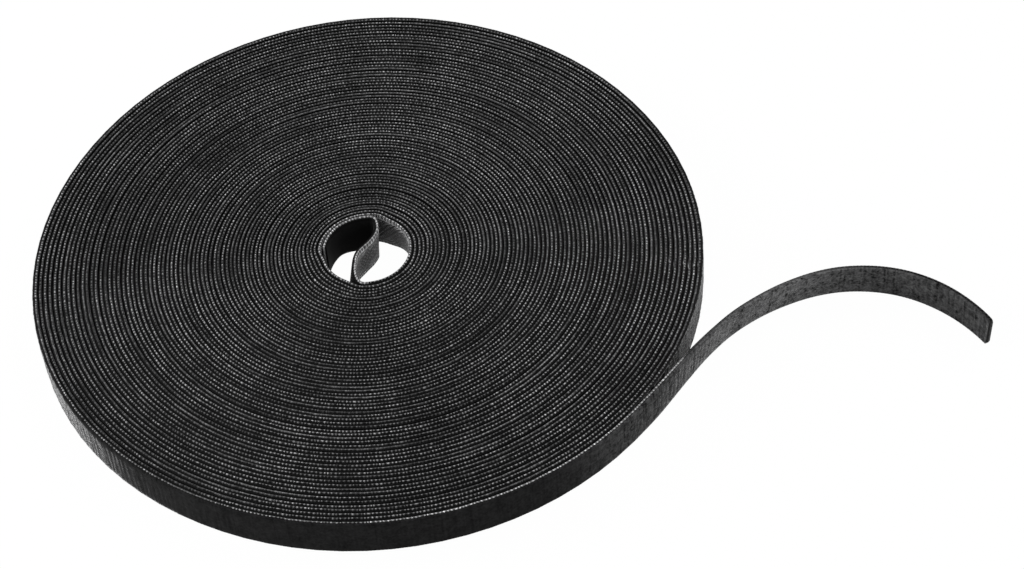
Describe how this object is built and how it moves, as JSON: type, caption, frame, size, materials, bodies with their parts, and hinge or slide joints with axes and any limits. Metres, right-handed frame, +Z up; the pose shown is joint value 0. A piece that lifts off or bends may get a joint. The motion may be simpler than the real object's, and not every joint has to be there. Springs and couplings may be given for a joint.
{
  "type": "hook and loop tape roll",
  "caption": "Coreless roll of narrow back-to-back hook and loop tape lying flat, with its outer end pulled off in an arch and its folded inner end crossing the empty bore.",
  "frame": {"origin": "middle of the whole part's box (roll and free end together), on the surface that the roll lies on", "axes": "+X from the roll towards the tip of the free end, +Z up, along the roll's axis"},
  "size_m": [0.2828, 0.2018, 0.0127],
  "materials": {
    "wound_tape": "black woven tape edges, matt, with a pale dotted line along each turn",
    "hook_ply": "black nylon backing with rows of small hooks, slightly glossy",
    "loop_ply": "black napped nylon loops, matt and a little grey"
  },
  "bodies": {
    "roll": {"wound_turns": "wound_tape"},
    "tail_near": {"tail_near_hook_ply": "hook_ply", "tail_near_loop_ply": "loop_ply"},
    "tail_mid": {"tail_mid_hook_ply": "hook_ply", "tail_mid_loop_ply": "loop_ply"},
    "tail_tip": {"tail_tip_hook_ply": "hook_ply", "tail_tip_loop_ply": "loop_ply"},
    "inner_end": {"inner_end_hook_ply": "hook_ply", "inner_end_loop_ply": "loop_ply"},
    "inner_tip": {"inner_tip_hook_ply": "hook_ply", "inner_tip_loop_ply": "loop_ply"}
  },
  "joints": [
    {"name": "tail_peel", "type": "hinge", "parent": "roll", "child": "tail_near", "pos_m": [0.0326, -0.06908, 0.00635], "axis": [0, 0, -1], "range_deg": [-4, 75], "stiffness_Nm_per_rad": 0.0005},
    {"name": "tail_mid_flex", "type": "hinge", "parent": "tail_near", "child": "tail_mid", "pos_m": [0.06181, -0.03894, 0.00635], "axis": [0, 0, -1], "range_deg": [-35, 60], "stiffness_Nm_per_rad": 0.0005},
    {"name": "tail_tip_flex", "type": "hinge", "parent": "tail_mid", "child": "tail_tip", "pos_m": [0.09519, -0.02172, 0.00635], "axis": [0, 0, -1], "range_deg": [-45, 60], "stiffness_Nm_per_rad": 0.0005},
    {"name": "inner_end_flex", "type": "hinge", "parent": "roll", "child": "inner_end", "pos_m": [-0.04118, -0.01295, 0.00635], "axis": [0, 0, 1], "range_deg": [-3, 0], "stiffness_Nm_per_rad": 0.0005},
    {"name": "inner_tip_fold", "type": "hinge", "parent": "inner_end", "child": "inner_tip", "pos_m": [-0.03783, 0.01153, 0.00635], "axis": [0, 0, 1], "range_deg": [0, 25], "stiffness_Nm_per_rad": 0.0005}
  ]
}
